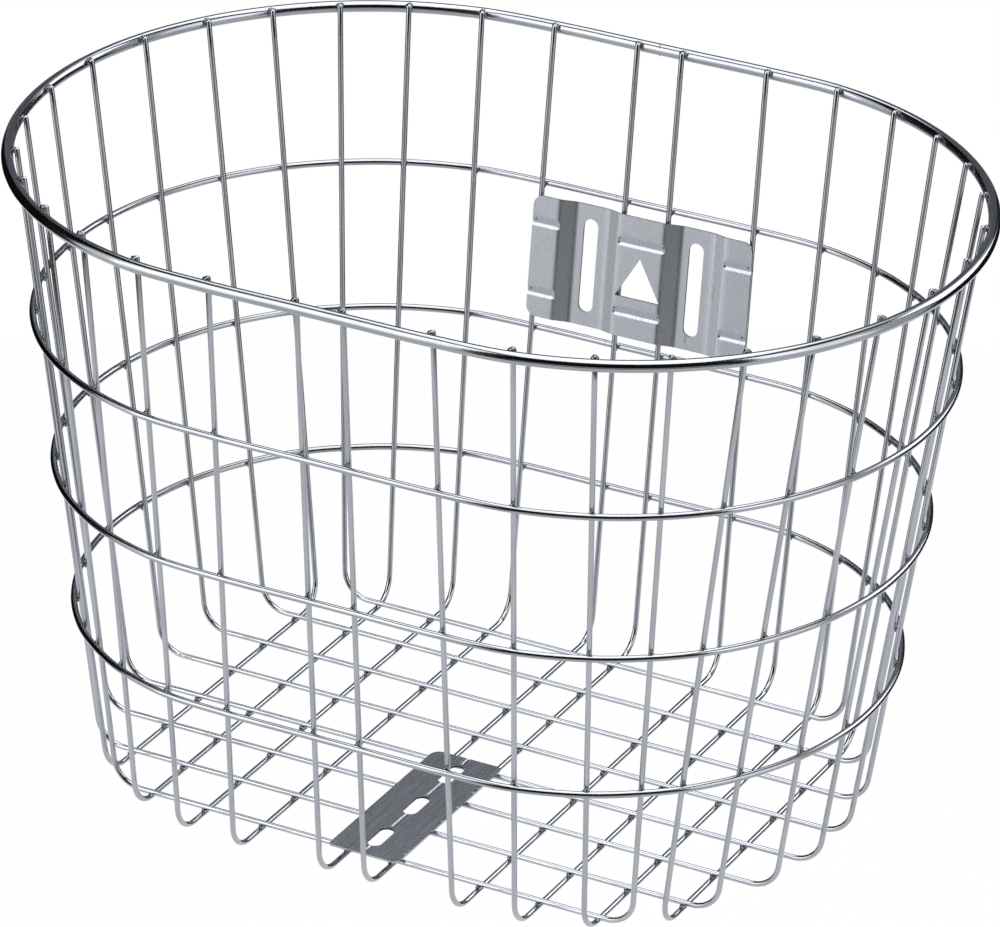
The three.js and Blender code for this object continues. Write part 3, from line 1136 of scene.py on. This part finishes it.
@dataclass
class Sheet:
    """A pressed sheet: an outline with holes, raised by a smooth relief, with broken edges."""

    name: str
    outline: Sequence[Vector]
    holes: Sequence[Sequence[Vector]]
    rise: Callable[[float, float], float]
    thickness: float
    columns: np.ndarray
    rows: np.ndarray
    step: float = 0.7 * MM
    rim_room: float = 0.4
    same_point: float = 1e-7
    edge: float = 0.14 * MM
    edge_steps: int = 2
    edge_angle: float = 50.0

    def build(self) -> Object:
        """Makes the sheet's mesh round its own middle.

        Returns:
            The new object, with a UV map in metres and its holes' edges marked.
        """
        flat, triangles, on_hole = self._cut()
        heights = [self.rise(x, y) for x, y in flat]
        count = len(flat)
        bottom = [(x, y, h) for (x, y), h in zip(flat, heights)]
        top = [(x, y, h + self.thickness) for (x, y), h in zip(flat, heights)]
        faces = [tuple(reversed(t)) for t in triangles]
        faces += [tuple(count + k for k in t) for t in triangles]
        edges = {(t[k], t[(k + 1) % 3]) for t in triangles for k in range(3)}
        walls = sorted((a, b) for a, b in edges if (b, a) not in edges)
        # Hole walls get the painted shade and the torn edge's dark tone.
        hole_wall_shade = [0.0] * len(faces) + [float(a in on_hole) for a, _ in walls]
        faces += [(a, b, b + count, a + count) for a, b in walls]
        mesh = bpy.data.meshes.new(self.name)
        mesh.from_pydata([*bottom, *top], [], faces)
        corner = np.zeros(len(mesh.loops), dtype=np.int32)
        mesh.loops.foreach_get("vertex_index", corner)
        uv = np.array([*flat, *flat], dtype=np.float32)[corner]
        mesh.uv_layers.new(name="sheet").data.foreach_set("uv", uv.ravel())
        mesh.attributes.new("hole_wall_shade", "FLOAT", "FACE").data.foreach_set("value", hole_wall_shade)
        mesh.shade_smooth()
        made = bpy.data.objects.new(self.name, mesh)
        bevel = made.modifiers.new("broken_edge", "BEVEL")
        bevel.width = self.edge
        bevel.segments = self.edge_steps
        bevel.limit_method = "ANGLE"
        bevel.angle_limit = math.radians(self.edge_angle)
        bevel.harden_normals = True
        return made

    def _cut(self) -> tuple[list[tuple[float, float]], list[tuple[int, int, int]], set[int]]:
        """Fills the outline with even triangles and leaves the holes out.

        Returns:
            Plan points, triangles that turn to the left, and which points lie on a hole's edge.
        """
        loops = [spaced(loop, self.step) for loop in (self.outline, *self.holes)]
        rims = [np.array([tuple(p) for p in loop]) for loop in loops]
        grid = np.stack(np.meshgrid(self.columns, self.rows), axis=2).reshape(-1, 2)
        keep = self._on_sheet(grid, rims)
        edge_points = np.concatenate(rims)
        for k in np.flatnonzero(keep):
            keep[k] = np.abs(edge_points - grid[k]).max(axis=1).min() > self.rim_room * self.step
        points = [Vector(p) for p in np.concatenate([edge_points, grid[keep]])]
        edges = []
        for rim in rims:
            start = len(edges)
            edges += [(start + k, start + (k + 1) % len(rim)) for k in range(len(rim))]
        made, _, triangles, sources, *_ = delaunay_2d_cdt(points, edges, [], 1, self.same_point)
        hole_points = range(len(rims[0]), len(edge_points))
        on_hole = {k for k, olds in enumerate(sources) if any(old in hole_points for old in olds)}
        flat = [tuple(p) for p in made]
        middles = np.array([np.mean([flat[k] for k in t], axis=0) for t in triangles])
        solid = self._on_sheet(middles, rims)
        return flat, [tuple(t) for t, kept in zip(triangles, solid) if kept], on_hole

    @staticmethod
    def _on_sheet(points: np.ndarray, rims: Sequence[np.ndarray]) -> np.ndarray:
        """Finds the points within the outline and outside the holes.

        Args:
            points: Plan points.
            rims: The outline, and then each hole.

        Returns:
            True for each point that lies on the sheet.
        """
        found = inside(points, rims[0])
        for hole in rims[1:]:
            found &= ~inside(points, hole)
        return found


@dataclass
class BackPlate:
    """The pressed plate on the inside of the back wall, which takes the handlebar bracket's bolts."""

    lattice: Lattice
    thickness: float = 0.8 * MM
    width: float = 100 * MM
    height: float = 52 * MM
    middle_z: float = 160.3 * MM
    corner: float = 4.5 * MM
    valley_flat: float = 14.4 * MM
    valley_depth: float = 2.2 * MM
    step_width: float = 6.9 * MM
    slot_length: float = 40 * MM
    slot_width: float = 6.6 * MM
    window_side: float = 20.4 * MM
    bead_depth: float = 1.0 * MM
    bead_press: float = 0.65 * MM
    bead_above: float = 2.6 * MM
    bead_below: float = 1.0 * MM
    bead_drop: float = 1.0 * MM
    bead_round: float = 0.22
    bead_side_round: float = 0.08
    bead_overrun: float = 1.0 * MM
    bead_end: float = 1.0 * MM
    bead_end_round: float = 0.25 * MM
    bead_pitch: float = 30 * MM
    fold: float = 1.5 * MM
    blend: float = 0.2 * MM
    mark: float = 0.5 * MM
    mark_rise: float = 0.2 * MM
    mark_up: float = 0.7 * MM
    mark_wobble: float = 0.05
    fold_room: float = 1.5 * MM
    fold_spacing: float = 0.3 * MM
    bead_room: float = 0.3 * MM
    bead_spacing: float = 0.18 * MM
    flat_spacing: float = 1.2 * MM

    @property
    def pad(self) -> float:
        """From the wires' axes in to the pads' outer face."""
        return self.lattice.wire_d / 2 + self.lattice.weld_gap + self.bead_depth

    @property
    def slot_x(self) -> float:
        """From the middle to each valley's middle."""
        return self.lattice.pair_pitch / 2 + self.step_width + self.valley_flat / 2

    @property
    def bead_ends(self) -> tuple[float, float]:
        """From the middle to the end of the middle beads, and to the inner end of the outer ones."""
        step = self.valley_flat / 2 + self.step_width
        return self.slot_x - step + self.bead_overrun, self.slot_x + step - self.bead_overrun

    def _bead(self, x: float, y: float) -> float:
        """Share of the beads' depth at a point: a long upper side, a steep lower one and rounded ends.

        Args:
            x: Across the plate.
            y: Up the plate.

        Returns:
            From 0 beside the beads to 1 on their deepest line.
        """
        up = y - math.copysign(self.bead_pitch / 2, y) + self.bead_drop
        reach = self.bead_above if up > 0 else self.bead_below
        crest = 1 - math.hypot(up / reach, self.bead_round) + self.bead_round
        inner, outer = self.bead_ends
        middle = 1 - slope(abs(x), inner - self.bead_end, inner, self.bead_end_round)
        side = slope(abs(x), outer, outer + self.bead_end, self.bead_end_round)
        return hinge(crest, self.bead_side_round) * max(middle, side)

    def rise(self, x: float, y: float) -> float:
        """Height of the outer face over the plane of the wires' axes.

        Args:
            x: Across the plate.
            y: Up the plate.

        Returns:
            The height at that point.
        """
        edge = self.valley_flat / 2
        valley = 1 - slope(abs(abs(x) - self.slot_x), edge, edge + self.step_width, self.fold)
        pressed = blended_max(self.valley_depth * valley, self.bead_press * self._bead(x, y), self.blend)
        return self.pad - pressed

    def place(self) -> Matrix:
        """Sets the plate on the wall: its own y goes up the wall and its z into the basket.

        Returns:
            From the plate's own axes to the basket's.
        """
        arm = self.lattice.arms["long", 0, Side.BACK]
        on_wall = arm.at_height(self.middle_z)
        lean = math.atan2(arm.top.y - arm.foot.y, arm.top.z - arm.foot.z)
        seat = Matrix.Translation((0.0, on_wall.y, self.middle_z))
        return seat @ Matrix.Rotation(math.pi / 2 - lean, 4, "X")

    def build(self, material: Material, weld: Material) -> None:
        """Makes the plate and the marks of its spot welds.

        Args:
            material: The sheet's finish.
            weld: The marks' finish.
        """
        high = self.window_side * math.sqrt(3) / 2
        half = self.window_side / 2
        window = [Vector((-half, -high / 2)), Vector((half, -high / 2)), Vector((0.0, high / 2))]
        slots = [slot_loop(x, 0.0, self.slot_length, self.slot_width) for x in both_signs([self.slot_x])]
        outline = plate_loop(self.width, self.height, [self.corner] * 4)
        edge = self.valley_flat / 2
        from_slot = (-edge - self.step_width, -edge, edge, edge + self.step_width)
        folds = both_signs([*(self.slot_x + off for off in from_slot), *self.bead_ends])
        columns = graded(self.width / 2, folds, self.fold_room, self.fold_spacing, self.flat_spacing)
        beads = both_signs([self.bead_pitch / 2])
        room = self.bead_above + self.bead_room
        rows = graded(self.height / 2, beads, room, self.bead_spacing, self.flat_spacing)
        holes = [window, *slots]
        plate = Sheet("back_plate_pressed", outline, holes, self.rise, self.thickness, columns, rows).build()
        plate.matrix_world = self.place()
        fit(plate, material, ["back_plate"])
        self._mark(weld)

    def _mark(self, weld: Material) -> None:
        """Makes the marks where the beads are spot-welded to the wires behind them.

        Args:
            weld: The marks' finish.
        """
        place = self.place()
        axes = [place.to_3x3() @ axis for axis in Matrix.Identity(3)]
        outer_x = self.lattice.plate_wire_x - self.lattice.plate_wire_lean / 2
        marks = Beads("back_plate_spot_welds", self.mark_wobble)
        for x in both_signs([self.lattice.pair_pitch / 2, outer_x]):
            for row in both_signs([self.bead_pitch / 2]):
                y = row + self.mark_up
                spot = Vector((x, y, self.rise(x, y) + self.thickness))
                marks.add(place @ spot, axes, (self.mark, self.mark, self.mark_rise))
        fit(marks.build(), weld)


@dataclass
class FloorPlate:
    """The slotted strip on the floor, welded to the front cross wires, which takes the fork stay's bolts."""

    lattice: Lattice
    thickness: float = 0.8 * MM
    width: float = 31 * MM
    length: float = 86.8 * MM
    carriers: int = 4
    forward: float = 1.3 * MM
    corners: tuple[float, float, float, float] = (2.5 * MM, 4.5 * MM, 1.5 * MM, 3 * MM)
    slot_count: int = 3
    slot_length: float = 15.3 * MM
    slot_width: float = 6.0 * MM
    slot_pitch: float = 28.7 * MM
    crease_depth: float = 0.5 * MM
    crease_press: float = 0.4 * MM
    crease_width: float = 1.5 * MM
    crease_floor: float = 0.3 * MM
    crease_fade: float = 2.0 * MM
    crease_end_round: float = 0.3 * MM
    fold: float = 0.2 * MM
    crease_room: float = 0.4 * MM
    crease_spacing: float = 0.2 * MM
    fade_spacing: float = 0.4 * MM
    flat_spacing: float = 1.5 * MM

    @property
    def slot_ys(self) -> list[float]:
        """Each slot's middle along the plate."""
        return [(k - (self.slot_count - 1) / 2) * self.slot_pitch for k in range(self.slot_count)]

    def rise(self, x: float, y: float) -> float:
        """Height of the underside over the cross wires' tops.

        Args:
            x: Across the plate.
            y: Along the plate.

        Returns:
            The height at that point.
        """
        crease = 1 - slope(abs(x), self.crease_floor / 2, self.crease_width / 2, self.fold)
        past_slot = min(abs(y - at) for at in self.slot_ys) - self.slot_length / 2
        crease *= slope(past_slot, 0.0, self.crease_fade, self.crease_end_round)
        return self.lattice.weld_gap + self.crease_depth - self.crease_press * crease

    def build(self, material: Material) -> None:
        """Makes the plate.

        Args:
            material: The sheet's finish.
        """
        carried = self.lattice.cross_ys[-self.carriers :]
        y = (carried[0] + carried[-1]) / 2 - self.forward
        slots = [slot_loop(0.0, at, self.slot_length, self.slot_width) for at in self.slot_ys]
        outline = plate_loop(self.width, self.length, self.corners)
        room = self.crease_width / 2 + self.crease_room
        columns = graded(self.width / 2, [0.0], room, self.crease_spacing, self.flat_spacing)
        ends = [at + off for at in self.slot_ys for off in both_signs([self.slot_length / 2])]
        rows = graded(self.length / 2, ends, self.crease_fade, self.fade_spacing, self.flat_spacing)
        plate = Sheet("floor_plate_pressed", outline, slots, self.rise, self.thickness, columns, rows).build()
        plate.matrix_world = Matrix.Translation((0.0, y, self.lattice.cross_z + self.lattice.wire_d / 2))
        fit(plate, material, ["floor_plate"])


def round_point(turn: float, radius: float, z: float) -> Triple:
    """The studio's point at turn degrees to the right of the far side, at a radius and a height."""
    return radius * math.sin(math.radians(turn)), radius * math.cos(math.radians(turn)), z


def round_edge(radius: float, z: float, step: int = 5) -> list[Triple]:
    """The corners of a level round sheet, each step degrees from the last."""
    return [round_point(turn, radius, z) for turn in range(0, 360, step)]


@dataclass(frozen=True)
class Softbox:
    """A flat soft lamp, placed in the studio's own axes: right of the view, away from the camera, and up."""

    name: str
    at: Triple
    aim: Triple
    width: float
    height: float
    radiance: float

    def build(self, turn: Matrix) -> None:
        """Hangs the lamp, which the camera doesn't see.

        Args:
            turn: From the studio's axes to the basket's.
        """
        lamp = bpy.data.lights.new(self.name, "AREA")
        lamp.shape = "RECTANGLE"
        lamp.size = self.width
        lamp.size_y = self.height
        lamp.energy = self.radiance * math.pi * self.width * self.height
        made = bpy.data.objects.new(self.name, lamp)
        facing = (Vector(self.aim) - Vector(self.at)).to_track_quat("-Z", "Y").to_matrix().to_4x4()
        made.matrix_world = turn @ Matrix.Translation(self.at) @ facing
        made.visible_camera = False
        bpy.context.scene.collection.objects.link(made)


def upright(
    name: str, turn: float, low: float, high: float, width: float, radiance: float, distance: float = 1.7
) -> Softbox:
    """Stands a softbox upright round the table, facing its middle.

    Args:
        name: The lamp's name.
        turn: Degrees to the right of the far side.
        low: Height of its lower edge.
        high: Height of its upper edge.
        width: Its width.
        radiance: How bright its face is, where 1 is white.
        distance: How far it stands from the table's middle.

    Returns:
        The softbox.
    """
    z = (low + high) / 2
    return Softbox(name, round_point(turn, distance, z), (0.0, 0.0, z), width, high - low, radiance)


@dataclass
class Studio:
    """A round white table with dark curtains and a pale backdrop round it, and soft lamps over and beside it.

    The studio stands square to the camera: its x runs to the right of the view and its y away from the
    camera. The table lies below the basket, as far as it takes for the floor's wires to mirror dark cloth.
    """

    azimuth: float = 28.08
    elevation: float = 26.62
    roll: float = 0.6
    eye: Triple = (1.12459, -2.10203, 1.32542)
    sensor: float = 36.0
    lens: float = 243.0
    sideways: float = -0.0009
    farthest: float = 100.0
    table_radius: float = 1.0
    floor_z: float = -0.28
    paper: str = "#e8e8e8"
    shadow_share: float = 0.05
    world: str = "#ffffff"
    white: float = 1.0
    room_radius: float = 2.6
    room_low: float = -0.75
    fold_turn: float = 5.0
    cloth: str = "#1c1c1c"
    curtains: tuple[Triple, ...] = ((25.0, 50.0, 1.5), (50.0, 335.0, 5.5))
    backdrop: Triple = (-25.0, 25.0, 2.6)
    backdrop_colour: str = "#92969d"
    lamps: tuple[Softbox, ...] = (
        Softbox("overhead", (0.0, 0.28, 1.75), (0.0, 0.28, 0.0), 1.34, 2.6, 2.15),
        upright("left_softbox", -117.0, 0.42, 2.35, 1.04, 3.0),
        upright("left_low_board", -117.0, 0.02, 0.42, 1.04, 2.0),
        upright("left_skirt", -117.0, -0.6, 0.02, 1.04, 1.25),
        upright("left_side_board", -94.5, -0.6, 2.4, 0.51, 1.3),
        upright("far_right_softbox", 60.0, 0.62, 1.85, 1.15, 3.38),
        upright("right_softbox", 134.5, 0.25, 1.75, 0.45, 2.6),
        upright("right_board", 116.5, 0.1, 1.9, 0.63, 2.0),
        upright("right_skirt", 124.0, -0.6, 0.06, 1.17, 1.15),
        upright("front_card", 180.0, -0.53, -0.03, 2.0, 0.5, distance=1.75),
        upright("right_side_board", 95.0, -0.6, 2.2, 0.66, 0.69),
    )

    @property
    def turn(self) -> Matrix:
        """From the studio's axes to the basket's."""
        return Matrix.Rotation(math.radians(self.azimuth), 4, "Z")

    def build(self) -> None:
        """Sets the camera, the table, the cloths round it, the world and the lamps."""
        bpy.context.scene.view_settings.view_transform = "Standard"
        self._camera()
        self._floor()
        self._hang("black_curtains", self.cloth, self.curtains, on_ground=True)
        self._hang("pale_backdrop", self.backdrop_colour, (self.backdrop,))
        self._background()
        for lamp in self.lamps:
            lamp.build(self.turn)

    def _camera(self) -> None:
        """Stands the camera where the photograph was taken."""
        lens = bpy.data.cameras.new("camera")
        lens.sensor_width = self.sensor
        lens.lens = self.lens
        lens.shift_x = self.sideways
        lens.clip_end = self.farthest
        camera = bpy.data.objects.new("camera", lens)
        tilt = Matrix.Rotation(math.radians(90 - self.elevation), 4, "X")
        roll = Matrix.Rotation(math.radians(self.roll), 4, "Z")
        camera.matrix_world = Matrix.Translation(self.eye) @ self.turn @ tilt @ roll
        bpy.context.scene.collection.objects.link(camera)
        bpy.context.scene.camera = camera

    def _stand(
        self, name: str, points: list[Triple], faces: list[tuple[int, ...]], material: Material
    ) -> Object:
        """Stands a piece of the studio round the basket.

        Args:
            name: The piece's name.
            points: Its corners in the studio's axes.
            faces: The corners of each face.
            material: Its finish.

        Returns:
            The piece.
        """
        mesh = bpy.data.meshes.new(name)
        mesh.from_pydata(points, [], faces)
        mesh.materials.append(material)
        piece = bpy.data.objects.new(name, mesh)
        piece.matrix_world = self.turn
        bpy.context.scene.collection.objects.link(piece)
        return piece

    def _floor(self) -> None:
        """Lays the table: white to the camera and the metal, with a faint shadow, and paper to other light."""
        material, tree = new_material("white_paper")
        rays = add_node(tree, "ShaderNodeLightPath").outputs
        paper = add_node(tree, "ShaderNodeBsdfDiffuse", {"Color": linear(self.paper)}).outputs[0]
        white = add_node(tree, "ShaderNodeEmission", {"Strength": self.white}).outputs[0]
        shown = add_node(tree, "ShaderNodeMixShader", {0: self.shadow_share, 1: white, 2: paper}).outputs[0]
        looking = rays["Is Camera Ray"]
        for kind in ("Is Glossy Ray", "Is Transmission Ray"):
            either = {0: looking, 1: rays[kind]}
            looking = add_node(tree, "ShaderNodeMath", either, operation="MAXIMUM").outputs[0]
        surface = add_node(tree, "ShaderNodeMixShader", {0: looking, 1: paper, 2: shown}).outputs[0]
        add_node(tree, "ShaderNodeOutputMaterial", {"Surface": surface})
        edge = round_edge(self.table_radius, self.floor_z)
        self._stand("floor", edge, [tuple(range(len(edge)))], material)

    def _hang(self, name: str, colour: str, stretches: Iterable[Triple], on_ground: bool = False) -> None:
        """Hangs cloth round the table, which the metal mirrors and the camera doesn't see.

        Args:
            name: The cloth's name.
            colour: Its colour.
            stretches: Each one's first and last turn, in degrees to the right of the far side, and its top.
            on_ground: Whether the cloth also covers the ground.
        """
        material, tree = new_material(name)
        cloth = add_node(tree, "ShaderNodeBsdfDiffuse", {"Color": linear(colour)}).outputs[0]
        add_node(tree, "ShaderNodeOutputMaterial", {"Surface": cloth})
        low = self.room_low
        points, faces = [], []
        for start, end, top in stretches:
            folds = math.ceil((end - start) / self.fold_turn)
            for fold in range(folds):
                first, last = (start + (end - start) * edge / folds for edge in (fold, fold + 1))
                corners = ((first, low), (last, low), (last, top), (first, top))
                faces.append(tuple(range(len(points), len(points) + len(corners))))
                points += [round_point(turn, self.room_radius, z) for turn, z in corners]
        if on_ground:
            edge = round_edge(self.room_radius, low)
            faces.append(tuple(range(len(points), len(points) + len(edge))))
            points += edge
        self._stand(name, points, faces, material).visible_camera = False

    def _background(self) -> None:
        """Paints the world plain white."""
        world = bpy.data.worlds.new("studio")
        world.use_nodes = True
        tree = world.node_tree
        tree.nodes.clear()
        light = {"Color": linear(self.world), "Strength": self.white}
        white = add_node(tree, "ShaderNodeBackground", light).outputs[0]
        add_node(tree, "ShaderNodeOutputWorld", {"Surface": white})
        bpy.context.scene.world = world


def main() -> None:
    """Builds the basket's pieces and the studio."""
    logging.basicConfig(level=logging.INFO, format="%(name)s %(message)s")
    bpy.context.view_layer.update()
    drawn, polished, sheet, weld = (finish.material() for finish in (DRAWN, POLISHED, MILL_SHEET, WELD))
    lattice = Lattice()
    Wires(lattice, list(HOOP_HEIGHTS.values())).build(drawn, weld)
    hoops = [Ring(node, lattice, z, weld_z=z) for node, z in HOOP_HEIGHTS.items()]
    rim_bead = (1.7 * MM, 1.3 * MM, 1.2 * MM)
    rim = Ring("rim", lattice, RIM_HEIGHT, lattice.top_z, diameter=4.8 * MM, bead=rim_bead, seam_x=-1 * MM)
    for ring in (*hoops, rim):
        ring.build(polished, weld)
    BackPlate(lattice).build(sheet, weld)
    FloorPlate(lattice).build(sheet)
    Studio().build()


if __name__ == "__main__":
    main()
